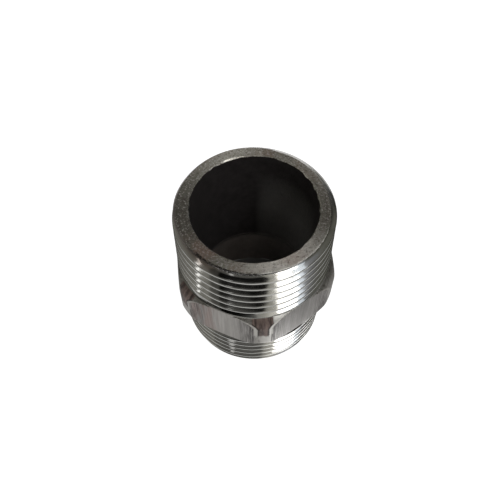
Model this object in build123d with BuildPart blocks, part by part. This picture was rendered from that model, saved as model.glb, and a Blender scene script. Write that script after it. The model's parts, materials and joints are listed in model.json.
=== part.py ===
from build123d import *
from math import atan, degrees
import os

# Hex nipple, thread size R 1. It is one piece, machined from round carbon steel bar:
# a taper pipe thread on each end, a milled hexagon for the wrench between them, and a
# plain bore right through.
# Frame: millimetres, +Z up along the bore, origin at the middle of the lower end face.

os.makedirs("parts", exist_ok=True)

# Driving dimensions
OVERALL_LENGTH = 41.0
UPPER_THREAD_LENGTH = 15.6       # from each end face to the hexagon
LOWER_THREAD_LENGTH = 14.4
BORE_RADIUS = 12.9

# ISO 7-1 taper thread R 1: 11 threads per inch, 55 degree form, right-hand
THREAD_PITCH = 25.4 / 11
GAUGE_RADIUS = 33.249 / 2        # crest radius at the gauge plane
GAUGE_LENGTH = 10.39             # from the end face to the gauge plane
TAPER = 1 / 32                   # radius per unit of length, 1 in 16 on diameter
THREAD_DEPTH = 0.640327 * THREAD_PITCH
CREST_FLAT = THREAD_PITCH / 6    # truncated a sixth of the sharp form at crest and root
LOWER_END_TURN = -117.0          # degrees each end is turned about its own axis,
UPPER_END_TURN = -131.0          # which sets where its groove starts

# Ends
END_FACE_RADIUS = 15.35          # outer edge of the faced end
END_CHAMFER_HEIGHT = 1.3

# Hexagon, milled on the round bar
BAR_RADIUS = 18.5                # rolled surface, left at the hexagon's corners
ACROSS_FLATS = 33.6              # for a 34 mm wrench
HEX_TURN = -22.5                 # one corner's angle from the X axis, in degrees
SHOULDER_RADIUS = 16.9           # inner edge of the rounded shoulders above and below the flats
UPPER_SHOULDER_HEIGHT = 2.8
LOWER_SHOULDER_HEIGHT = 2.4

CUT_MARGIN = 1.0                 # how far the milling cutter stands clear of the bar
GROOVE_MARGIN = 0.3              # the same for the thread tool, kept short of the next turn

HEX_LOW = LOWER_THREAD_LENGTH
HEX_HIGH = OVERALL_LENGTH - UPPER_THREAD_LENGTH
END_CREST_RADIUS = GAUGE_RADIUS - GAUGE_LENGTH * TAPER


def crest_radius(height):
    """Radius of the thread's crests at a height from its own end face."""
    return END_CREST_RADIUS + height * TAPER


# Thread tool: one groove on a taper helix. It starts a turn below the end face, on the
# X axis, and stops just short of the hexagon's shoulder.
GROOVE_START = -THREAD_PITCH
GROOVE_END = UPPER_THREAD_LENGTH - THREAD_PITCH / 4
ROOT_RADIUS = crest_radius(GROOVE_START) - THREAD_DEPTH
MOUTH_RADIUS = ROOT_RADIUS + THREAD_DEPTH + GROOVE_MARGIN
FLANK_SLOPE = (THREAD_PITCH / 2 - CREST_FLAT) / THREAD_DEPTH
ROOT_HALF_WIDTH = CREST_FLAT / 2
MOUTH_HALF_WIDTH = ROOT_HALF_WIDTH + FLANK_SLOPE * (MOUTH_RADIUS - ROOT_RADIUS)

with BuildPart() as thread_groove:
    with BuildLine() as groove_path:
        Helix(
            pitch=THREAD_PITCH,
            height=GROOVE_END - GROOVE_START,
            radius=ROOT_RADIUS,
            center=(0, 0, GROOVE_START),
            cone_angle=degrees(atan(TAPER)),
        )
    with BuildSketch(Plane.XZ):
        with BuildLine():
            Polyline(
                (ROOT_RADIUS, GROOVE_START - ROOT_HALF_WIDTH),
                (MOUTH_RADIUS, GROOVE_START - MOUTH_HALF_WIDTH),
                (MOUTH_RADIUS, GROOVE_START + MOUTH_HALF_WIDTH),
                (ROOT_RADIUS, GROOVE_START + ROOT_HALF_WIDTH),
                close=True,
            )
        make_face()
    sweep(path=groove_path.wires()[0], is_frenet=True)

# Threaded end of the nipple, from its end face at z = 0 up to the hexagon. The bar is
# turned to a cone with a chamfer, bored, and threaded. It has the upper end's length, and
# at the lower end its last turn lies inside the hexagon.
with BuildPart() as threaded_end:
    with BuildSketch(Plane.XZ):
        with BuildLine():
            Polyline(
                (BORE_RADIUS, 0),
                (END_FACE_RADIUS, 0),
                (crest_radius(END_CHAMFER_HEIGHT), END_CHAMFER_HEIGHT),
                (crest_radius(UPPER_THREAD_LENGTH), UPPER_THREAD_LENGTH),
                (BORE_RADIUS, UPPER_THREAD_LENGTH),
                close=True,
            )
        make_face()
    revolve(axis=Axis.Z)
    with Locations(Location((0, 0, 0), (0, 0, 90))):
        add(thread_groove.part, mode=Mode.SUBTRACT)

# The nipple: the hexagon in the middle, grown into one piece with both threaded ends.
with BuildPart() as nipple_body:
    with BuildSketch(Plane.XZ):
        with BuildLine():
            Line((BORE_RADIUS, HEX_LOW), (SHOULDER_RADIUS, HEX_LOW))
            # Each shoulder is an arc that runs on into the side of the bar.
            TangentArc(
                (BAR_RADIUS, HEX_LOW + LOWER_SHOULDER_HEIGHT),
                (SHOULDER_RADIUS, HEX_LOW),
                tangent=(0, -1),
            )
            Line(
                (BAR_RADIUS, HEX_LOW + LOWER_SHOULDER_HEIGHT),
                (BAR_RADIUS, HEX_HIGH - UPPER_SHOULDER_HEIGHT),
            )
            TangentArc(
                (BAR_RADIUS, HEX_HIGH - UPPER_SHOULDER_HEIGHT),
                (SHOULDER_RADIUS, HEX_HIGH),
                tangent=(0, 1),
            )
            Polyline((SHOULDER_RADIUS, HEX_HIGH), (BORE_RADIUS, HEX_HIGH), (BORE_RADIUS, HEX_LOW))
        make_face()
    revolve(axis=Axis.Z)

    # Wrench flats, milled on the round bar.
    with BuildSketch(Plane.XY.offset(HEX_LOW)):
        Circle(BAR_RADIUS + CUT_MARGIN)
        RegularPolygon(ACROSS_FLATS / 2, 6, major_radius=False, rotation=HEX_TURN, mode=Mode.SUBTRACT)
    extrude(amount=HEX_HIGH - HEX_LOW, mode=Mode.SUBTRACT)

    # Turning an end over keeps its thread right-hand.
    with Locations(Location((0, 0, 0), (0, 0, LOWER_END_TURN))):
        add(threaded_end.part)
    with Locations(Location((0, 0, OVERALL_LENGTH), (180, 0, UPPER_END_TURN))):
        add(threaded_end.part)

nipple_body.part.label = "nipple_body"
export_step(nipple_body.part, "parts/nipple_body.step")
print("volume", round(nipple_body.part.volume, 1), "mm3")
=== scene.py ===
import json
import math
from collections import namedtuple

import bmesh
import bpy
import numpy as np
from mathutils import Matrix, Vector


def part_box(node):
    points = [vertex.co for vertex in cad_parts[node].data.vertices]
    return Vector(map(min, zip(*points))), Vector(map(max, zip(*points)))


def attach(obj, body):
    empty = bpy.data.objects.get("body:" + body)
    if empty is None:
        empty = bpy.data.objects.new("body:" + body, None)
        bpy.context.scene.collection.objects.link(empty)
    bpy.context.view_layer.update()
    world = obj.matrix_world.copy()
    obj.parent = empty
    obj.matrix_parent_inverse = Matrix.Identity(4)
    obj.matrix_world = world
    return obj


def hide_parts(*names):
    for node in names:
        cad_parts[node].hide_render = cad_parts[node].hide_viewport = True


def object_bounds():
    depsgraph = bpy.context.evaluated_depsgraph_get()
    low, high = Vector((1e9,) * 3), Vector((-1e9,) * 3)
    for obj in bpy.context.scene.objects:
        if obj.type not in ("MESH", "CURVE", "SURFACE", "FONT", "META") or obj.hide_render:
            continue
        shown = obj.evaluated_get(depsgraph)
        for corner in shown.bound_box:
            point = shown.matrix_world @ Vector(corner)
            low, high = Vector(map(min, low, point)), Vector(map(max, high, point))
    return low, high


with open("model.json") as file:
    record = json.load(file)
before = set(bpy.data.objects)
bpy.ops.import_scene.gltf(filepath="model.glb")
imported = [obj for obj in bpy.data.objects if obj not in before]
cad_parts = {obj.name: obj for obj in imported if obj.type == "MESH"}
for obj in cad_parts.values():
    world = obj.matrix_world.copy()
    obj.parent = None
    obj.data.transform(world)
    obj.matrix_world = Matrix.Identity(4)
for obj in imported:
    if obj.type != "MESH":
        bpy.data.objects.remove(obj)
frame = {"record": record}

# A hex nipple of machined carbon steel, standing on one end.
# Shapes are worked out in millimetres and turned to metres when the mesh is made.
# Azimuths are in degrees from +X about +Z, so -90 is the front.

CAD_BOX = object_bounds()
MM = 0.001

# ---------------------------------------------------------------- dimensions, in mm

LOW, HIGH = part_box("nipple_body")
MOUNTS = {mount["name"]: mount for mount in frame["record"]["mounts"]}
HEIGHT = (HIGH.z - LOW.z) / MM
BORE_RADIUS = MOUNTS["bore"]["dims"]["r_mm"]

UPPER_THREAD_LENGTH = 15.6       # from each end face to the hexagon
LOWER_THREAD_LENGTH = 14.4
THREAD_PITCH = 25.4 / 11
TAPER = 1 / 32                   # radius per unit of length
GAUGE_RADIUS = 33.249 / 2        # crest radius at the gauge plane
GAUGE_LENGTH = 10.39             # from the end face to the gauge plane
END_CREST_RADIUS = GAUGE_RADIUS - GAUGE_LENGTH * TAPER
THREAD_DEPTH = 0.640327 * THREAD_PITCH
CREST_FLAT = THREAD_PITCH / 6
LOWER_GROOVE_ANGLE = -27.0       # azimuth at which each groove crosses its end face
UPPER_GROOVE_ANGLE = 41.0
RUN_OUT_END = 0.1                # the thread tool is clear of the bar this far from the hexagon,
RUN_OUT_LENGTH = 1.3             # and draws out of it over this height
CREST_ROUNDING = 0.08            # as shares of the thread's depth
ROOT_ROUNDING = 0.10
CREST_TEAR = 0.012               # how uneven the crests are
TEAR_SHIFT = 2.4                 # from one turn's unevenness to the next one's, in radians

END_FACE_RADIUS = 15.35
END_CHAMFER_HEIGHT = 1.3
CHAMFER_TOP_RADIUS = END_CREST_RADIUS + END_CHAMFER_HEIGHT * TAPER
CHAMFER_SLOPE = (CHAMFER_TOP_RADIUS - END_FACE_RADIUS) / END_CHAMFER_HEIGHT
CHAMFER_ROUNDING = 0.12
WIDE_AZIMUTH = 200.0             # the upper face is a little wider on this side,
WIDE_HALF = 55.0                 # this many degrees to each side,
WIDE_EXTRA = 0.24                # by this much,
WIDE_RISE = 1.5                  # all of it reached over the middle third

BAR_RADIUS = 18.49               # rolled surface, left at the hexagon's corners
FLAT_FACE = MOUNTS["wrench_flat_right"]["pos_m"]
FLAT_DISTANCE = math.hypot(FLAT_FACE[0], FLAT_FACE[1]) / MM
FLAT_ANGLE = math.degrees(math.atan2(FLAT_FACE[1], FLAT_FACE[0]))
CORNER_ANGLE = FLAT_ANGLE + 30.0
SHOULDER_RADIUS = 16.9           # inner edge of the rounded shoulders above and below the flats
UPPER_SHOULDER_HEIGHT = 2.8
LOWER_SHOULDER_HEIGHT = 2.4
HEX_LOW = LOWER_THREAD_LENGTH
HEX_HIGH = HEIGHT - UPPER_THREAD_LENGTH
CORNER_ROUNDING = 0.22
SHOULDER_ROUNDING = 0.10

SCALE_FOOT = 19.9                # lower end of the brown scale on the corners

RIDGE_HEIGHT = 12.0              # where the borings from the two ends meet in the bore
RIDGE_DEPTH = 0.16
RIDGE_WIDTH = 0.7

EDGE_BREAK = 0.14                # bevel left by a file round the bore's mouths
EDGE_SLOPE = 0.75                # its height as a share of its width
EDGE_UNEVEN = 0.7                # how much its width varies, as a share,
EDGE_LEAST = 0.3                 # and the share that is always left
MOUTH_WAVE = 0.06                # how uneven the bore is at its mouths,
MOUTH_REACH = 2.0                # and how deep into it that reaches

# Lumps of burr that lean into the upper mouth of the bore: azimuth and half width in degrees,
# and size in mm.
BURRS = [
    (112.0, 9.0, 0.16), (124.0, 8.0, 0.20), (98.0, 5.0, 0.10), (136.0, 3.0, 0.20),
    (149.0, 3.0, 0.14), (37.0, 4.0, 0.24), (22.0, 4.0, 0.26), (11.0, 4.0, 0.22),
    (-2.0, 5.0, 0.22), (-28.0, 6.0, 0.12), (181.0, 4.0, 0.20), (188.0, 3.0, 0.16),
]
BURR_UNEVEN = 0.45               # how much a lump's size varies, as a share
BURR_REACH = 0.5                 # how deep into the bore a burr reaches

# ---------------------------------------------------------------- grid of the mesh

SEAM_ANGLE = 90.0                # at the back
CORNER_HALF = 30.0 - math.degrees(math.acos(FLAT_DISTANCE / BAR_RADIUS))
COLUMNS_PER_CORNER = 8
COLUMNS_PER_FLAT = 42

# Rows of a turn of the thread, in pitches from the middle of the groove: close at its corners.
THREAD_ROWS = [0.0, 0.065, 0.10, 0.25, 0.37, 0.40, 0.425,
               0.50, 0.575, 0.60, 0.63, 0.75, 0.90, 0.935]
SPARE_TURNS = 3                  # rows are made this far past both ends of a thread, in turns,
ROW_MARGIN = 0.2                 # and then kept to this far past it, in mm
ROWS_PER_FACE = 9
ROWS_PER_HEXAGON = 66

# Rows of the bore from the top down, with places as shares of its height.
MOUTH_SHARE = 0.04
PAST_MOUTH_SHARE = 0.06
ROWS_AT_MOUTH = 6
ROWS_ABOVE_RIDGE = 13
ROWS_ON_RIDGE = 9
ROWS_BELOW_RIDGE = 8

MERGE = 0.012                    # points nearer than this are one point, in mm
MERGE_FLAT = MERGE / 10          # and so are the ends of edges shorter than this
SHARP_ANGLE = 30.0               # an edge with a sharper turn than this isn't shaded smooth

FACED, TURNED, MILLED, CORNER, BORE, EDGE = range(6)

# A band of the mesh: the radii and heights of its rows of points, the kind of its surface, and by
# how many rows a row climbs in a turn. kind is None on the hexagon, which has two kinds.
Zone = namedtuple("Zone", "radius height kind shift")


def column_angles():
    """Angles of the grid's columns, in radians: even steps in each flat and in each corner."""
    angles = []
    for side in range(6):
        corner = CORNER_ANGLE + 60.0 * side
        angles += list(np.linspace(corner - CORNER_HALF, corner + CORNER_HALF,
                                   COLUMNS_PER_CORNER, endpoint=False))
        angles += list(np.linspace(corner + CORNER_HALF, corner + 60.0 - CORNER_HALF,
                                   COLUMNS_PER_FLAT, endpoint=False))
    turned = np.mod(np.array(angles) - SEAM_ANGLE, 360.0) + SEAM_ANGLE
    return np.radians(np.sort(turned))


ANGLES = column_angles()
COLUMNS = len(ANGLES)
TURN = ANGLES - math.radians(SEAM_ANGLE)         # from the seam


def smooth_min(a, b, blend):
    """The smaller of two radii, with the edge between them rounded over."""
    mix = np.clip(0.5 + 0.5 * (b - a) / blend, 0.0, 1.0)
    return b + (a - b) * mix - blend * mix * (1.0 - mix)


def smooth_step(x):
    """0 up to x = 0 and 1 from x = 1 on, with an even curve between them."""
    x = np.clip(x, 0.0, 1.0)
    return x * x * (3.0 - 2.0 * x)


def away_from(azimuth, angle, period=360.0):
    """Degrees from an azimuth, or from the nearest of its repeats, to an angle in radians."""
    away = np.degrees(angle) - azimuth
    return away - period * np.round(away / period)


def waves(angle, seed, count, first):
    """A smooth seeded wobble round the axis, about -1 to 1: the sum of count waves, the longest of
    which repeats first times in a turn."""
    draw = np.random.default_rng(seed)
    total = np.zeros_like(angle)
    weight = 0.0
    for order in range(first, first + count):
        size = 1.0 / math.sqrt(order)
        total += size * np.cos(order * angle + draw.uniform(0.0, 2.0 * math.pi))
        weight += size * size
    return total / math.sqrt(2.0 * weight)


# ---------------------------------------------------------------- shape, as radii

def thread_turns(end_distance, angle, upper):
    """Turns of the thread from the start of its groove: whole numbers along the groove's middle."""
    if upper:
        first = (math.radians(UPPER_GROOVE_ANGLE) - angle) / (2 * math.pi)
    else:
        first = (angle - math.radians(LOWER_GROOVE_ANGLE)) / (2 * math.pi)
    return end_distance / THREAD_PITCH - first


def thread_radius(end_distance, angle, upper):
    """Outer radius of a threaded end at a distance from its end face."""
    length = UPPER_THREAD_LENGTH if upper else LOWER_THREAD_LENGTH
    turns = thread_turns(end_distance, angle, upper)
    offset = (turns - np.round(turns)) * THREAD_PITCH
    tear = CREST_TEAR * waves(angle + TEAR_SHIFT * np.floor(turns), seed=3, count=30, first=9)
    crest = END_CREST_RADIUS + end_distance * TAPER + tear
    flank = (THREAD_PITCH - CREST_FLAT) / 2 - np.abs(offset)
    share = flank / (THREAD_PITCH / 2 - CREST_FLAT)
    share = smooth_min(share, np.ones_like(share), CREST_ROUNDING)
    share = -smooth_min(-share, np.zeros_like(share), ROOT_ROUNDING)
    left = (length - RUN_OUT_END - (end_distance - offset)) / RUN_OUT_LENGTH
    radius = crest - THREAD_DEPTH * share * smooth_step(left)
    chamfer = END_FACE_RADIUS + CHAMFER_SLOPE * end_distance
    if upper:
        inside = 1.0 - np.abs(away_from(WIDE_AZIMUTH, angle)) / WIDE_HALF
        chamfer = chamfer + WIDE_EXTRA * smooth_step(WIDE_RISE * inside)
    return smooth_min(radius, chamfer, CHAMFER_ROUNDING)


def flat_radius(angle):
    """Radius of the nearest wrench flat."""
    return FLAT_DISTANCE / np.cos(np.radians(away_from(FLAT_ANGLE, angle, period=60.0)))


def shoulder_radius(height):
    """Radius of the turned bar: straight in the middle, with an arc to the shoulder at each end."""
    radius = np.full_like(height, BAR_RADIUS)
    drop = BAR_RADIUS - SHOULDER_RADIUS
    for tall, past in ((LOWER_SHOULDER_HEIGHT, HEX_LOW + LOWER_SHOULDER_HEIGHT - height),
                       (UPPER_SHOULDER_HEIGHT, height - HEX_HIGH + UPPER_SHOULDER_HEIGHT)):
        arc = (drop ** 2 + tall ** 2) / (2.0 * drop)
        past = np.clip(past, 0.0, tall)
        radius = np.minimum(radius, BAR_RADIUS - arc + np.sqrt(arc ** 2 - past ** 2))
    return radius


def hex_radius(height, angle):
    """Radius of the hexagon: the turned bar with its flats milled, and the edges worn round."""
    bar = np.full_like(height, BAR_RADIUS)
    milled = smooth_min(bar, flat_radius(angle), CORNER_ROUNDING)
    return smooth_min(milled, shoulder_radius(height), SHOULDER_ROUNDING)


def burr_size(angle):
    """How far the burr leans into the upper mouth of the bore."""
    total = np.zeros_like(angle)
    for azimuth, half_width, size in BURRS:
        total += size * smooth_step(1.0 - np.abs(away_from(azimuth, angle)) / half_width)
    return total * (1.0 + BURR_UNEVEN * waves(angle, seed=8, count=40, first=20))


def edge_break(angle, seed):
    """Width of the bevel round a mouth of the bore."""
    uneven = 1.0 + EDGE_UNEVEN * waves(angle, seed, count=24, first=5)
    return EDGE_BREAK * np.clip(uneven, EDGE_LEAST, None) + burr_size(angle)


def bore_radius(height, angle):
    """The bore: a ragged mouth at each end, and a low ridge where two borings meet."""
    from_top = HEIGHT - height
    from_end = np.minimum(height, from_top)
    ragged = MOUTH_WAVE * waves(angle, seed=5, count=9, first=2) * np.exp(-from_end / MOUTH_REACH)
    burr = burr_size(angle) * np.exp(-from_top / BURR_REACH)
    ridge = RIDGE_DEPTH * smooth_step(1.0 - np.abs(height - RIDGE_HEIGHT) / RIDGE_WIDTH)
    return BORE_RADIUS + ragged - burr - ridge


# ---------------------------------------------------------------- the mesh

def helical_heights(low, high, groove_angle):
    """Heights of rows that follow a groove, which is at groove_angle where the height is 0."""
    start = math.fmod((SEAM_ANGLE - groove_angle) / 360.0, 1.0)
    turns = np.arange(-SPARE_TURNS, int(high / THREAD_PITCH) + SPARE_TURNS)
    base = (turns[:, None] + start + np.array(THREAD_ROWS)[None, :]).reshape(-1) * THREAD_PITCH
    inside = (base > low - THREAD_PITCH - ROW_MARGIN) & (base < high + ROW_MARGIN)
    heights = base[inside][:, None] + THREAD_PITCH * TURN[None, :] / (2 * math.pi)
    return np.clip(heights, low, high)


def ramp(count, low=0.0, high=1.0):
    """Rows that go evenly from low to high, the same in every column."""
    return np.linspace(low, high, count)[:, None] + np.zeros(COLUMNS)[None, :]


def make_zones():
    """The mesh's zones: the lower end face from the bore outwards, the lower thread, the hexagon,
    the upper thread, the upper end face and the bore from the top down."""
    angle = ANGLES[None, :]
    across = ramp(ROWS_PER_FACE)
    per_turn = len(THREAD_ROWS)
    low_break = edge_break(angle, seed=6)
    high_break = edge_break(angle, seed=7)

    inner = bore_radius(0.0, angle) + low_break
    outer = thread_radius(0.0, angle, upper=False)
    lower_face = Zone(inner + (outer - inner) * across, np.zeros_like(across), FACED, 0)

    height = helical_heights(0.0, HEX_LOW, LOWER_GROOVE_ANGLE)
    lower_thread = Zone(thread_radius(height, angle, upper=False), height, TURNED, per_turn)

    height = ramp(ROWS_PER_HEXAGON, HEX_LOW, HEX_HIGH)
    hexagon = Zone(hex_radius(height, angle), height, None, 0)

    # the upper groove, followed down to the height of the lower end face
    groove_angle = UPPER_GROOVE_ANGLE - 360.0 * HEIGHT / THREAD_PITCH
    height = helical_heights(HEX_HIGH, HEIGHT, groove_angle)
    upper_thread = Zone(thread_radius(HEIGHT - height, angle, upper=True), height, TURNED, per_turn)

    inner = bore_radius(HEIGHT, angle) + high_break
    outer = thread_radius(0.0, angle, upper=True)
    upper_face = Zone(outer + (inner - outer) * across, np.full_like(across, HEIGHT), FACED, 0)

    ridge_top = 1.0 - (RIDGE_HEIGHT + RIDGE_WIDTH) / HEIGHT
    ridge_foot = 1.0 - (RIDGE_HEIGHT - RIDGE_WIDTH) / HEIGHT
    share = np.concatenate([np.linspace(0.0, MOUTH_SHARE, ROWS_AT_MOUTH),
                            np.linspace(PAST_MOUTH_SHARE, ridge_top, ROWS_ABOVE_RIDGE),
                            np.linspace(ridge_top, ridge_foot, ROWS_ON_RIDGE)[1:],
                            np.linspace(ridge_foot, 1.0, ROWS_BELOW_RIDGE)[1:]])
    low_mouth = EDGE_SLOPE * low_break
    high_mouth = HEIGHT - EDGE_SLOPE * high_break
    height = high_mouth - (high_mouth - low_mouth) * share[:, None]
    bore = Zone(bore_radius(height, angle), height, BORE, 0)

    return [lower_face, lower_thread, hexagon, upper_thread, upper_face, bore]


def ring_quads(low, high):
    """Quads between two rows of points, given the number of each row's first point."""
    here = np.arange(COLUMNS)
    beside = np.roll(here, -1)
    return np.stack([low + here, low + beside, high + beside, high + here], -1)


def zone_quads(zone):
    """Quads between a zone's own rows, with its points numbered from 0."""
    last = len(zone.height) - 1
    row, column = np.indices((last, COLUMNS))
    right = (column + 1) % COLUMNS
    shift = np.where(right == 0, zone.shift, 0)      # across the seam
    low_right = np.minimum(row + shift, last)
    high_right = np.minimum(row + 1 + shift, last)
    quads = np.stack([row * COLUMNS + column, low_right * COLUMNS + right,
                      high_right * COLUMNS + right, (row + 1) * COLUMNS + column], -1)
    return quads.reshape(-1, 4)


def zone_kinds(zone):
    """The surface that each of a zone's quads lies on."""
    if zone.kind is not None:
        return np.full((len(zone.height) - 1) * COLUMNS, zone.kind)
    step = np.append(np.diff(ANGLES), ANGLES[0] + 2 * math.pi - ANGLES[-1])
    flat = flat_radius(ANGLES + step / 2)[None, :]
    bar = shoulder_radius((zone.height[:-1] + zone.height[1:]) / 2)
    return np.where(flat < bar, MILLED, CORNER).reshape(-1)


def build_nipple():
    """The whole nipple as one closed grid of quads, wrapped round the axis. Its zones follow each
    other from the lower mouth of the bore, over the outside and down the bore again."""
    points = []
    faces = []
    kinds = []
    start = 0
    for zone in make_zones():
        if start:                        # the step from the zone before
            faces.append(ring_quads(start - COLUMNS, start))
            kinds.append(np.full(COLUMNS, EDGE if zone.kind == BORE else TURNED))
        x = zone.radius * np.cos(ANGLES)
        y = zone.radius * np.sin(ANGLES)
        points.append(np.stack([x, y, zone.height], -1).reshape(-1, 3))
        faces.append(zone_quads(zone) + start)
        kinds.append(zone_kinds(zone))
        start += len(zone.height) * COLUMNS
    # the last step closes the lower mouth of the bore
    faces.append(ring_quads(start - COLUMNS, 0))
    kinds.append(np.full(COLUMNS, EDGE))

    mesh = bpy.data.meshes.new("hex_nipple")
    mesh.from_pydata(np.concatenate(points) * MM, [], np.concatenate(faces).tolist())
    mesh.polygons.foreach_set("material_index", np.concatenate(kinds).astype(np.int32))
    return mesh


def merge_points(mesh):
    """Join the points that coincide where a thread's rows run into its ends, and shade smooth."""
    work = bmesh.new()
    work.from_mesh(mesh)
    bmesh.ops.remove_doubles(work, verts=work.verts, dist=MERGE * MM)
    bmesh.ops.dissolve_degenerate(work, edges=work.edges, dist=MERGE_FLAT * MM)
    bmesh.ops.recalc_face_normals(work, faces=work.faces)
    work.to_mesh(mesh)
    work.free()
    for polygon in mesh.polygons:
        polygon.use_smooth = True
    mesh.set_sharp_from_angle(angle=math.radians(SHARP_ANGLE))


# ---------------------------------------------------------------- materials

PATTERN_RADIUS = 16.0            # in mm, near all of the nipple's surfaces
TOOL_LINES = 0.25                # a highlight's turn that stretches it across lines round the axis


class Nodes:
    """Short calls for a material's nodes. Lengths are in mm and angles in degrees."""

    def __init__(self, name):
        self.material = bpy.data.materials.new(name)
        self.material.use_nodes = True
        self.tree = self.material.node_tree
        self.tree.nodes.clear()
        output = self.tree.nodes.new("ShaderNodeOutputMaterial")
        self.shader = self.tree.nodes.new("ShaderNodeBsdfPrincipled")
        self.tree.links.new(self.shader.outputs[0], output.inputs["Surface"])
        metres = self.tree.nodes.new("ShaderNodeTexCoord").outputs["Object"]
        self.position = self.vector("SCALE", metres, scale=1.0 / MM)
        split = self.tree.nodes.new("ShaderNodeSeparateXYZ")
        self.tree.links.new(self.position, split.inputs[0])
        self.x, self.y, self.z = split.outputs
        self.angle = self.times(self.math("ARCTAN2", self.y, self.x), 180.0 / math.pi)
        self.radius = self.math("SQRT", self.plus(self.times(self.x, self.x),
                                                  self.times(self.y, self.y)))

    def put(self, socket, value):
        """Link another node's output to a socket, or set the socket to a number."""
        if hasattr(value, "node"):
            self.tree.links.new(value, socket)
        else:
            socket.default_value = value

    def math(self, operation, a, b=0.0, clamp=False):
        node = self.tree.nodes.new("ShaderNodeMath")
        node.operation = operation
        node.use_clamp = clamp
        self.put(node.inputs[0], a)
        self.put(node.inputs[1], b)
        return node.outputs[0]

    def times(self, product, *factors):
        for factor in factors:
            product = self.math("MULTIPLY", product, factor)
        return product

    def plus(self, total, *parts):
        for part in parts:
            total = self.math("ADD", total, part)
        return total

    def vector(self, operation, a, b=(0.0, 0.0, 0.0), scale=1.0):
        node = self.tree.nodes.new("ShaderNodeVectorMath")
        node.operation = operation
        self.put(node.inputs[0], a)
        if operation == "SCALE":
            node.inputs["Scale"].default_value = scale
        else:
            self.put(node.inputs[1], b)
        return node.outputs[0]

    def join(self, x, y, z):
        node = self.tree.nodes.new("ShaderNodeCombineXYZ")
        for socket, value in zip(node.inputs, (x, y, z)):
            self.put(socket, value)
        return node.outputs[0]

    def round_axis(self, around, outward, along):
        """A point with the angle opened out round a circle, so that a pattern closes on itself.
        around, outward and along are the pattern's scales, per mm."""
        cosine = self.times(self.math("DIVIDE", self.x, self.radius), PATTERN_RADIUS * around)
        sine = self.times(self.math("DIVIDE", self.y, self.radius), PATTERN_RADIUS * around)
        line = self.plus(self.times(self.radius, outward), self.times(self.z, along))
        return self.join(cosine, sine, line)

    def noise(self, point, scale=1.0, detail=4.0, roughness=0.55, seed=0.0):
        node = self.tree.nodes.new("ShaderNodeTexNoise")
        node.inputs["Scale"].default_value = scale
        node.inputs["Detail"].default_value = detail
        node.inputs["Roughness"].default_value = roughness
        self.put(node.inputs["Vector"], self.vector("ADD", point, (seed, seed * 0.7, seed * 1.3)))
        return node.outputs["Fac"]

    def fit(self, value, low, high, to_low=0.0, to_high=1.0):
        """to_low where value is low, to_high where it is high, and in proportion between them."""
        node = self.tree.nodes.new("ShaderNodeMapRange")
        node.clamp = True
        self.put(node.inputs["Value"], value)
        for name, number in (("From Min", low), ("From Max", high),
                             ("To Min", to_low), ("To Max", to_high)):
            node.inputs[name].default_value = number
        return node.outputs["Result"]

    def mix(self, share, a, b):
        node = self.tree.nodes.new("ShaderNodeMix")
        node.data_type = "RGBA"
        self.put(node.inputs["Factor"], share)
        self.put(node.inputs["A"], a if hasattr(a, "node") else (*a, 1.0))
        self.put(node.inputs["B"], b if hasattr(b, "node") else (*b, 1.0))
        return node.outputs["Result"]

    def over(self, colour, coat, *shares):
        """colour with a coat over it, as much of it as the shares say when multiplied."""
        return self.mix(self.times(*shares), colour, coat)

    def near(self, azimuth, half_width):
        """1 on the side that faces azimuth, fading to 0 half_width degrees away from it."""
        away = self.math("SUBTRACT", self.angle, azimuth)
        cosine = self.math("COSINE", self.times(away, math.pi / 180.0))
        return self.fit(cosine, math.cos(math.radians(half_width)), 1.0)

    def patch(self, place, fade, outside=0.0, inside=1.0):
        """inside on a place and outside beyond it, with an edge where near goes from fade to 0."""
        return self.fit(self.near(*place), 0.0, fade, outside, inside)

    def from_corner(self):
        """Degrees round the axis from the nearest corner of the hexagon."""
        turned = self.plus(self.angle, 360.0 + 30.0 - CORNER_ANGLE)      # never below 0
        within = self.math("MODULO", turned, 60.0)                       # 30 at a corner
        return self.math("ABSOLUTE", self.math("SUBTRACT", within, 30.0))

    def behind_flat(self):
        """How far the surface lies inside the plane of the nearest wrench flat."""
        from_middle = self.math("SUBTRACT", 30.0, self.from_corner())
        cosine = self.math("COSINE", self.times(from_middle, math.pi / 180.0))
        return self.math("SUBTRACT", FLAT_DISTANCE, self.times(self.radius, cosine))

    def brushed(self, anisotropy, turn):
        """Stretch the highlights: turn is TOOL_LINES on turned metal and 0 on scratches up and
        down."""
        tangent = self.tree.nodes.new("ShaderNodeTangent")
        tangent.direction_type = "RADIAL"
        tangent.axis = "Z"
        self.tree.links.new(tangent.outputs["Tangent"], self.shader.inputs["Tangent"])
        self.shader.inputs["Anisotropic"].default_value = anisotropy
        self.shader.inputs["Anisotropic Rotation"].default_value = turn

    def bump(self, height, distance):
        node = self.tree.nodes.new("ShaderNodeBump")
        node.inputs["Strength"].default_value = 1.0
        node.inputs["Distance"].default_value = distance * MM
        self.put(node.inputs["Height"], height)
        return node.outputs["Normal"]

    def finish(self, colour, metallic, roughness, normal):
        self.put(self.shader.inputs["Base Color"], colour)
        self.put(self.shader.inputs["Metallic"], metallic)
        self.put(self.shader.inputs["Roughness"], roughness)
        self.put(self.shader.inputs["Normal"], normal)
        return self.material


# Colours are linear. A place is the azimuth of its middle and its reach to each side, as near
# takes them.

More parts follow.
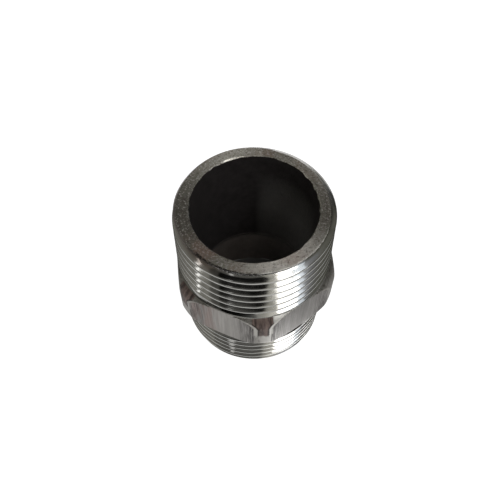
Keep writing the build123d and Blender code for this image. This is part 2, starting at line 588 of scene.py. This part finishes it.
FACE_DARK = (0.230, 0.214, 0.184)
FACE_LIGHT = (0.370, 0.352, 0.312)
OLIVE_FILM = (0.220, 0.210, 0.165)
RUST_FILM = (0.290, 0.200, 0.165)
RUST_PLACES = [(60.0, 40.0), (-125.0, 30.0), (-58.0, 14.0)]
FRONT_SHEEN = (0.68, 0.645, 0.60)
FRONT_SHEEN_PLACE = (-62.0, 45.0)
BACK_SHEEN = (0.48, 0.46, 0.41)
BACK_SHEEN_PLACE = (112.0, 40.0)
# Painted shade, darkening the end face at its left and right sides.
PAINTED_FACE_SHADE = (0.080, 0.074, 0.062)
PAINTED_FACE_SHADE_LEFT = (200.0, 55.0)
PAINTED_FACE_SHADE_RIGHT = (-2.0, 36.0)
FACE_PIT = (0.070, 0.055, 0.045)
FACE_GLINT = (0.75, 0.72, 0.67)
# Painted shadow: a dark ragged line inside the outer edge of the end face, towards the front left.
PAINTED_LIP_SHADOW = (0.020, 0.016, 0.014)
LIP_SHADOW_PLACE = (-108.0, 31.0)
# Painted highlight: bright specks inside the outer edge of the end face, towards the front right.
PAINTED_EDGE_GLINT = (0.85, 0.83, 0.78)
EDGE_GLINT_PLACE = (-40.0, 48.0)


def faced_steel():
    """End faces: matt, with rings from the facing tool, olive and rust films and dark pits, a
    painted sheen in front and behind, painted shade at the sides and painted glints. Along the
    outer edge lies a ragged painted shadow in one place and a painted highlight in another."""
    n = Nodes("faced_steel")
    n.brushed(1.0, TOOL_LINES)
    rings = n.noise(n.round_axis(0.05, 5.0, 0.0), detail=3.0)
    grain = n.noise(n.position, scale=2.2, detail=6.0, roughness=0.8)
    cloud = n.noise(n.position, scale=0.22, detail=4.0, roughness=0.6, seed=4.0)
    speck = n.noise(n.position, scale=1.7, detail=6.0, roughness=0.8, seed=9.0)
    rust = n.plus(*(n.near(*place) for place in RUST_PLACES))
    rust = n.math("MULTIPLY", rust, n.fit(cloud, 0.42, 0.62), clamp=True)
    # painted shade at the sides of the face
    painted_shade = n.plus(n.times(n.near(*PAINTED_FACE_SHADE_LEFT), 0.75), n.times(n.near(*PAINTED_FACE_SHADE_RIGHT), 0.5))
    edge = n.times(n.fit(n.radius, END_FACE_RADIUS - 0.30, END_FACE_RADIUS - 0.12),
                   n.fit(grain, 0.42, 0.52))
    colour = n.mix(n.fit(rings, 0.3, 0.7), FACE_DARK, FACE_LIGHT)
    colour = n.over(colour, OLIVE_FILM, n.fit(cloud, 0.35, 0.7, 0.0, 0.6))
    colour = n.over(colour, FRONT_SHEEN, n.near(*FRONT_SHEEN_PLACE), 0.6)
    colour = n.over(colour, BACK_SHEEN, n.near(*BACK_SHEEN_PLACE), 0.4)
    colour = n.over(colour, PAINTED_FACE_SHADE, painted_shade)
    colour = n.over(colour, RUST_FILM, rust, 0.6)
    colour = n.over(colour, FACE_PIT, n.fit(speck, 0.50, 0.62), 0.7)
    colour = n.over(colour, FACE_GLINT, n.fit(grain, 0.54, 0.62), 0.7)
    # painted shadow along the outer edge
    colour = n.over(colour, PAINTED_LIP_SHADOW, edge, n.patch(LIP_SHADOW_PLACE, 0.3))
    # painted highlight along the outer edge
    colour = n.over(colour, PAINTED_EDGE_GLINT, edge, n.patch(EDGE_GLINT_PLACE, 0.2))
    rough = n.fit(grain, 0.3, 0.7, 0.28, 0.46)
    height = n.plus(n.times(rings, 0.4), n.times(grain, 0.6))
    return n.finish(colour, 1.0, rough, n.bump(height, 0.14))


THREAD_DARK = (0.43, 0.425, 0.405)
THREAD_LIGHT = (0.56, 0.555, 0.535)
BROWN_STAIN = (0.190, 0.155, 0.135)
BROWN_STAIN_PLACE = (-160.0, 55.0)
OLIVE_STAIN = (0.150, 0.140, 0.115)
OLIVE_STAIN_PLACE = (-5.0, 50.0)
# Painted shadow: dark specks on the upper chamfer below the edge of the end face.
CHAMFER_LIP_SHADOW = (0.025, 0.020, 0.018)
CHAMFER_LIP_SHADOW_PLACE = (-105.0, 40.0)


def turned_steel():
    """Threads and chamfers: bright, with fine lines round them from the tool. The upper chamfer is
    rougher, and it and the first turn below it are stained in places. Dark specks of painted shadow
    lie on the upper chamfer under one part of the end face's edge."""
    n = Nodes("turned_steel")
    n.brushed(0.5, TOOL_LINES)
    lines = n.noise(n.round_axis(0.03, 6.0, 6.0), detail=3.0)
    blotch = n.noise(n.position, scale=0.25, detail=4.0, roughness=0.6, seed=2.0)
    grain = n.noise(n.position, scale=2.6, detail=6.0, roughness=0.75, seed=8.0)
    chamfer = n.fit(n.z, HEIGHT - 1.0, HEIGHT - 0.6)
    first_turn = n.fit(n.z, HEIGHT - 2.2, HEIGHT - 1.6)
    colour = n.mix(n.fit(blotch, 0.35, 0.65), THREAD_DARK, THREAD_LIGHT)
    colour = n.over(colour, BROWN_STAIN, first_turn, n.patch(BROWN_STAIN_PLACE, 0.5), 0.85)
    colour = n.over(colour, OLIVE_STAIN, chamfer, n.patch(OLIVE_STAIN_PLACE, 0.4), 0.8)
    # painted shadow in dark specks on the upper chamfer
    colour = n.over(colour, CHAMFER_LIP_SHADOW, chamfer, n.patch(CHAMFER_LIP_SHADOW_PLACE, 0.4),
                    n.fit(grain, 0.44, 0.52))
    rough = n.plus(n.fit(blotch, 0.3, 0.7, 0.09, 0.14), n.times(chamfer, 0.12))
    height = n.plus(lines, n.times(chamfer, grain, 12.0))
    return n.finish(colour, 1.0, rough, n.bump(height, 0.004))


FLAT_DARK = (0.215, 0.202, 0.190)
FLAT_LIGHT = (0.300, 0.286, 0.268)
# Painted sheen on the left front flat and painted shade on the right front flat.
FLAT_SHEEN = (0.420, 0.400, 0.375)
FLAT_SHEEN_PLACE = (-112.5, 16.0)
PAINTED_FLAT_SHADE = (0.135, 0.127, 0.119)
PAINTED_FLAT_SHADE_PLACE = (-55.0, 16.0)
FLAT_BROWN = (0.240, 0.170, 0.150)
FLAT_BROWN_PLACE = (-128.0, 14.0)
SCRATCH = (0.045, 0.036, 0.032)
FLAT_RIM = (0.56, 0.54, 0.50)
BRIGHT_RIM_PLACE = (CORNER_ANGLE - 60.0, 34.0)       # the front corner


def milled_steel():
    """Wrench flats: grey, scratched up and down, dark near the corners, with a brown tint in one
    place, and worn bright at their curved ends. One flat at the front has a painted sheen and the
    other painted shade."""
    n = Nodes("milled_steel")
    n.brushed(0.6, 0.0)
    fine = n.noise(n.round_axis(3.4, 0.0, 0.10), detail=5.0, roughness=0.7)
    broad = n.noise(n.round_axis(0.8, 0.0, 0.08), detail=3.0, seed=3.0)
    by_corner = n.fit(n.from_corner(), 8.0, 18.0, 1.0, 0.16)
    rim = n.times(n.fit(n.behind_flat(), 0.004, 0.020),
                  n.fit(n.z, SCALE_FOOT, SCALE_FOOT + 0.5),
                  n.fit(fine, 0.42, 0.50, 0.2, 0.9),
                  n.patch(BRIGHT_RIM_PLACE, 0.4, 0.35, 1.0))
    colour = n.mix(n.fit(broad, 0.35, 0.65), FLAT_DARK, FLAT_LIGHT)
    # painted sheen and painted shade on two flats
    colour = n.over(colour, FLAT_SHEEN, n.near(*FLAT_SHEEN_PLACE), 0.6)
    colour = n.over(colour, PAINTED_FLAT_SHADE, n.near(*PAINTED_FLAT_SHADE_PLACE), 0.6)
    colour = n.over(colour, FLAT_BROWN, n.near(*FLAT_BROWN_PLACE), n.fit(broad, 0.40, 0.55), 0.8)
    colour = n.over(colour, SCRATCH, n.fit(fine, 0.44, 0.55), by_corner)
    colour = n.over(colour, FLAT_RIM, rim)
    rough = n.fit(fine, 0.3, 0.7, 0.34, 0.48)
    height = n.times(fine, n.fit(n.from_corner(), 8.0, 20.0, 1.0, 0.4))
    return n.finish(colour, 1.0, rough, n.bump(height, 0.12))


SCALE_DARK = (0.066, 0.048, 0.043)
SCALE_LIGHT = (0.270, 0.202, 0.178)
SCALE_EDGE = (0.022, 0.016, 0.014)
BARE_DARK = (0.200, 0.188, 0.170)
BARE_LIGHT = (0.400, 0.383, 0.355)
BARE_SCRATCH = (0.060, 0.050, 0.045)
BARE_RIM = (0.58, 0.56, 0.52)
SHOULDER_SHEEN = (0.85, 0.83, 0.79)
SHOULDER_SHEEN_PLACE = (-73.0, 13.0)
NO_SCALE_PLACE = (CORNER_ANGLE, 30.0)                # the right-hand corner


def corner_steel():
    """Shoulders and corners of the hexagon: brown scale down the middle of each corner to about its
    half height, and bare, scratched metal round and below it. One corner has no scale."""
    n = Nodes("corner_steel")
    n.brushed(0.5, TOOL_LINES)
    flake = n.noise(n.round_axis(1.8, 0.0, 0.25), detail=6.0, roughness=0.7)
    grain = n.noise(n.position, scale=1.6, detail=6.0, roughness=0.7, seed=5.0)
    above = n.plus(n.z, n.fit(flake, 0.3, 0.7, -0.7, 0.7))
    across = n.math("SUBTRACT", n.from_corner(), n.fit(flake, 0.3, 0.7, 5.5, 8.5))
    ragged = n.plus(n.behind_flat(), n.fit(grain, 0.3, 0.7, -0.05, 0.05))
    scale = n.times(n.fit(across, 0.0, 1.4, 1.0, 0.0),
                    n.fit(above, SCALE_FOOT - 0.3, SCALE_FOOT + 0.3),
                    n.fit(ragged, 0.20, 0.28),
                    n.patch(NO_SCALE_PLACE, 0.1, 1.0, 0.0))
    rim = n.times(n.fit(ragged, 0.26, 0.18),
                  n.fit(n.z, SCALE_FOOT - 0.5, SCALE_FOOT + 0.5),
                  n.patch(BRIGHT_RIM_PLACE, 0.4, 0.35, 1.0),
                  n.fit(grain, 0.35, 0.60, 0.3, 0.9))
    brown = n.mix(n.fit(flake, 0.38, 0.62), SCALE_DARK, SCALE_LIGHT)
    brown = n.over(brown, SCALE_EDGE, n.fit(n.behind_flat(), 0.44, 0.28))
    bare = n.mix(n.fit(grain, 0.35, 0.65), BARE_DARK, BARE_LIGHT)
    bare = n.over(bare, BARE_SCRATCH, n.fit(flake, 0.56, 0.66), 0.6)
    bare = n.over(bare, BARE_RIM, rim)
    bare = n.over(bare, SHOULDER_SHEEN, n.near(*SHOULDER_SHEEN_PLACE), 0.8)
    rough = n.plus(n.fit(grain, 0.3, 0.7, 0.26, 0.40), n.times(scale, 0.15))
    metallic = n.math("SUBTRACT", 1.0, n.times(scale, 0.4))
    return n.finish(n.mix(scale, bare, brown), metallic, rough, n.bump(grain, 0.10))


BORE_DARK = (0.034, 0.030, 0.030)
BORE_LIGHT = (0.060, 0.053, 0.053)
# Painted highlight on the bore wall, on the right towards the back.
PAINTED_BORE_HIGHLIGHT = (0.380, 0.370, 0.355)
BORE_HIGHLIGHT_PLACE = (46.0, 44.0)
WORN_DARK = (0.350, 0.305, 0.280)
WORN_LIGHT = (0.540, 0.495, 0.460)
WORN_PLACE = (50.0, 60.0)


def bore_scale():
    """Bore wall: nearly black scale, with a painted highlight on one side, and worn thin below the
    ridge.
    """
    n = Nodes("bore_scale")
    flake = n.noise(n.position, scale=0.8, detail=6.0, roughness=0.65)
    cloud = n.noise(n.position, scale=0.12, detail=3.0, roughness=0.5, seed=6.0)
    worn = n.mix(n.near(*WORN_PLACE), WORN_DARK, WORN_LIGHT)
    colour = n.mix(n.fit(flake, 0.35, 0.65), BORE_DARK, BORE_LIGHT)
    # painted highlight on one side of the bore wall
    colour = n.over(colour, PAINTED_BORE_HIGHLIGHT, n.near(*BORE_HIGHLIGHT_PLACE), n.fit(n.z, 2.0, 14.0),
                    n.fit(n.z, 36.0, 24.0))
    colour = n.over(colour, worn, n.fit(n.z, RIDGE_HEIGHT + 0.6, RIDGE_HEIGHT - 1.2),
                    n.fit(cloud, 0.3, 0.6, 0.6, 1.0))
    rough = n.fit(flake, 0.3, 0.7, 0.45, 0.62)
    return n.finish(colour, 0.0, rough, n.bump(flake, 0.10))


BEVEL_DARK = (0.16, 0.14, 0.12)
BEVEL_LIGHT = (0.66, 0.64, 0.58)
BEVEL_ROUGHNESS = 0.32


def filed_edge():
    """Bevel round the bore's mouths: bare and bright."""
    n = Nodes("filed_edge")
    grain = n.noise(n.position, scale=2.0, detail=4.0, roughness=0.7)
    colour = n.mix(n.fit(grain, 0.40, 0.56), BEVEL_DARK, BEVEL_LIGHT)
    return n.finish(colour, 1.0, BEVEL_ROUGHNESS, n.bump(grain, 0.06))


# ---------------------------------------------------------------- the nipple

mesh = build_nipple()
merge_points(mesh)
# in the order of FACED, TURNED, MILLED, CORNER, BORE and EDGE
for make in (faced_steel, turned_steel, milled_steel, corner_steel, bore_scale, filed_edge):
    mesh.materials.append(make())
nipple = bpy.data.objects.new("hex_nipple", mesh)
bpy.context.scene.collection.objects.link(nipple)
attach(nipple, "root")
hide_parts("nipple_body")

# ---------------------------------------------------------------- stage

FLOOR_HALF = 3.0                 # in metres
FLOOR_DROP = 0.0001              # in metres, from the nipple's foot
FLOOR_WHITE = 0.30
FLOOR_ROUGHNESS = 0.9
# The floor's own light, as a camera sees it, and as the steel does: in front of the nipple, behind
# it, what is added straight behind it, and what is added in a ring at the right front.
FLOOR_SEEN = 1.0
FLOOR_GLOW = 0.58
FLOOR_GLOW_BEHIND = 0.12
FLOOR_BEHIND_PLACE = (90.0, 110.0)
FLOOR_GLOW_BACK = 0.9
FLOOR_BACK_PLACE = (90.0, 55.0)
FLOOR_SPOT = 4.2
FLOOR_SPOT_PLACE = (-47.0, 35.0)
FLOOR_SPOT_INNER = (17.0, 17.8)  # over these radii, in mm, the ring grows bright
FLOOR_SPOT_OUTER = (19.2, 20.8)  # and dark again

# The sky: each stop is a part of a unit vector, from -1 to 1, and a brightness or colour there.
SKY_SIDE = [                     # from left to right
    (-0.64, 0.26, 0.255, 0.23), (-0.48, 0.36, 0.355, 0.33), (0.06, 0.38, 0.375, 0.36),
    (0.15, 0.46, 0.45, 0.41), (0.29, 0.76, 0.74, 0.68), (0.50, 0.66, 0.68, 0.72),
    (0.66, 0.26, 0.265, 0.28), (0.74, 0.15, 0.15, 0.13), (0.95, 0.12, 0.12, 0.10),
]
SKY_LOW = [(0.22, 0.25), (0.38, 1.0)]                # upwards
SKY_BEHIND = [(0.66, 1.0), (0.90, 0.20)]             # towards the back, at BACK_ELEVATION
BACK_ELEVATION = 46.0
STAND_AZIMUTH = -106.0
STAND_PROFILE = [                # across the stand, from right to left
    (-0.268, 1.0), (-0.253, 0.01), (0.345, 0.01), (0.36, 0.26), (0.46, 0.32), (0.49, 1.0),
]
STAND_FRONT = [                  # how much of the stand shows, towards its azimuth
    (0.10, 0.0), (0.17, 1.0), (0.49, 1.0), (0.53, 0.6), (0.70, 0.6), (0.80, 1.0),
]

SOFTBOX_DISTANCE = 0.60          # in metres
AIM_SHARE = 0.6                  # the lights face this share of the nipple's height
WHITE = (1.0, 1.0, 1.0)
WARM = (1.0, 0.99, 0.97)
BLUISH = (0.80, 0.89, 1.0)
# name, azimuth, elevation, width and height in metres, brightness and colour
SOFTBOXES = [
    ("key", -47.5, 59.5, 0.115, 0.09, 2.6, WARM),
    ("low_key", -46.3, 49.5, 0.200, 0.10, 4.5, WARM),
    ("window", -29.0, 50.0, 0.090, 0.16, 1.05, BLUISH),
    ("strip", -169.0, 49.0, 0.022, 0.14, 2.4, WHITE),
    ("low_strip", -124.0, 51.0, 0.040, 0.075, 0.75, WHITE),
    ("back", 91.0, 58.0, 0.08, 0.60, 3.0, WHITE),
]


def direction(azimuth, elevation):
    """Unit vector towards a place in the sky."""
    a = math.radians(azimuth)
    e = math.radians(elevation)
    return Vector((math.cos(a) * math.cos(e), math.sin(a) * math.cos(e), math.sin(e)))


def make_floor():
    """A plain pale floor with a light of its own, but dark under the nipple. To the camera it is
    evenly white. The steel sees a grey floor in front, a dark one at the sides behind, and bright
    parts straight behind and in a ring close by at the right front."""
    half = FLOOR_HALF
    floor_mesh = bpy.data.meshes.new("floor")
    floor_mesh.from_pydata([(-half, -half, 0), (half, -half, 0), (half, half, 0), (-half, half, 0)],
                           [], [(0, 1, 2, 3)])
    floor = bpy.data.objects.new("floor", floor_mesh)
    bpy.context.scene.collection.objects.link(floor)
    n = Nodes("floor_white")
    n.shader.inputs["Base Color"].default_value = (FLOOR_WHITE, FLOOR_WHITE, FLOOR_WHITE, 1.0)
    n.shader.inputs["Roughness"].default_value = FLOOR_ROUGHNESS
    n.shader.inputs["Emission Color"].default_value = (*WHITE, 1.0)
    spot_start, spot_full = FLOOR_SPOT_INNER
    spot_fade, spot_end = FLOOR_SPOT_OUTER
    spot = n.times(n.near(*FLOOR_SPOT_PLACE),
                   n.fit(n.radius, spot_end, spot_fade, 0.0, FLOOR_SPOT),
                   n.fit(n.radius, spot_start, spot_full))
    glow = n.plus(n.patch(FLOOR_BEHIND_PLACE, 0.6, FLOOR_GLOW, FLOOR_GLOW_BEHIND), spot,
                  n.times(n.near(*FLOOR_BACK_PLACE), FLOOR_GLOW_BACK))
    seen = n.tree.nodes.new("ShaderNodeLightPath").outputs["Is Camera Ray"]
    glow = n.plus(n.times(seen, FLOOR_SEEN), n.times(n.math("SUBTRACT", 1.0, seen), glow))
    glow = n.times(glow, n.fit(n.radius, BORE_RADIUS, END_FACE_RADIUS))
    n.put(n.shader.inputs["Emission Strength"], glow)
    floor_mesh.materials.append(n.material)
    floor.location.z = CAD_BOX[0][2] - FLOOR_DROP


def softbox(name, azimuth, elevation, width, height, strength, colour):
    """A rectangular light that faces the nipple. strength is its brightness as seen."""
    light = bpy.data.lights.new(name, "AREA")
    light.shape = "RECTANGLE"
    light.color = colour
    light.size = width
    light.size_y = height
    light.energy = strength * math.pi * width * height
    lamp = bpy.data.objects.new(name, light)
    bpy.context.scene.collection.objects.link(lamp)
    aim = Vector((0.0, 0.0, HEIGHT * MM * AIM_SHARE))
    lamp.location = aim + direction(azimuth, elevation) * SOFTBOX_DISTANCE
    lamp.rotation_euler = (lamp.location - aim).to_track_quat("Z", "Y").to_euler()


def make_sky():
    """A plain grey studio, dimmer low down and behind the nipple, with a dark stand in front of it,
    as wide as a person with a camera. It is plain white wherever a camera sees it."""
    world = bpy.data.worlds.new("studio")
    bpy.context.scene.world = world
    world.use_nodes = True
    tree = world.node_tree
    tree.nodes.clear()
    output = tree.nodes.new("ShaderNodeOutputWorld")
    place = tree.nodes.new("ShaderNodeTexCoord").outputs["Generated"]

    def along(way):
        """How far a place in the sky lies along a unit vector, from -1 to 1."""
        node = tree.nodes.new("ShaderNodeVectorMath")
        node.operation = "DOT_PRODUCT"
        tree.links.new(place, node.inputs[0])
        node.inputs[1].default_value = way
        return node.outputs["Value"]

    def profile(value, stops):
        """A brightness or colour that changes with value, from -1 to 1, by stops."""
        half = tree.nodes.new("ShaderNodeMath")      # to the ramp's own range, 0 to 1
        half.operation = "MULTIPLY_ADD"
        half.inputs[1].default_value = 0.5
        half.inputs[2].default_value = 0.5
        tree.links.new(value, half.inputs[0])
        node = tree.nodes.new("ShaderNodeValToRGB")
        tree.links.new(half.outputs[0], node.inputs["Fac"])
        elements = node.color_ramp.elements
        while len(elements) < len(stops):
            elements.new(0.5)
        for element, (position, *shade) in zip(elements, stops):
            element.position = (position + 1.0) / 2.0
            element.color = (*(shade if len(shade) == 3 else shade * 3), 1.0)
        return node.outputs["Color"]

    def blend(kind, share, a, b):
        node = tree.nodes.new("ShaderNodeMix")
        node.data_type = "RGBA"
        node.blend_type = kind
        for name, value in (("Factor", share), ("A", a), ("B", b)):
            if hasattr(value, "node"):
                tree.links.new(value, node.inputs[name])
            else:
                node.inputs[name].default_value = value
        return node.outputs["Result"]

    side = profile(along(direction(0.0, 0.0)), SKY_SIDE)
    low = profile(along(direction(0.0, 90.0)), SKY_LOW)
    behind = profile(along(direction(90.0, BACK_ELEVATION)), SKY_BEHIND)
    across = profile(along(direction(STAND_AZIMUTH - 90.0, 0.0)), STAND_PROFILE)
    front = profile(along(direction(STAND_AZIMUTH, 0.0)), STAND_FRONT)
    sky = blend("MULTIPLY", 1.0, side, behind)
    sky = blend("MULTIPLY", 1.0, sky, low)
    sky = blend("MULTIPLY", front, sky, across)

    studio = tree.nodes.new("ShaderNodeBackground")
    tree.links.new(sky, studio.inputs["Color"])
    seen = tree.nodes.new("ShaderNodeBackground")
    seen.inputs["Color"].default_value = (*WHITE, 1.0)
    mix = tree.nodes.new("ShaderNodeMixShader")
    tree.links.new(tree.nodes.new("ShaderNodeLightPath").outputs["Is Camera Ray"], mix.inputs[0])
    tree.links.new(studio.outputs[0], mix.inputs[1])
    tree.links.new(seen.outputs[0], mix.inputs[2])
    tree.links.new(mix.outputs[0], output.inputs["Surface"])


make_floor()
make_sky()
for box in SOFTBOXES:
    softbox(*box)

# ---------------------------------------------------------------- camera

CAMERA_PLACE = (0.78, -65.99, 130.94)                # in mm
CAMERA_TURN = 1.42               # to the left of straight ahead, in degrees
CAMERA_TILT = -58.16
CAMERA_LENS = 40.92
CAMERA_SENSOR = 36.0
CAMERA_CLIP = 0.005              # in metres, nearer than any surface

camera_data = bpy.data.cameras.new("camera")
camera_data.sensor_width = CAMERA_SENSOR
camera_data.lens = CAMERA_LENS
camera_data.clip_start = CAMERA_CLIP
camera = bpy.data.objects.new("camera", camera_data)
bpy.context.scene.collection.objects.link(camera)
camera.location = [part * MM for part in CAMERA_PLACE]
look = direction(90.0 + CAMERA_TURN, CAMERA_TILT)
camera.rotation_euler = look.to_track_quat("-Z", "Y").to_euler()
bpy.context.scene.camera = camera
bpy.context.scene.view_settings.view_transform = "Standard"
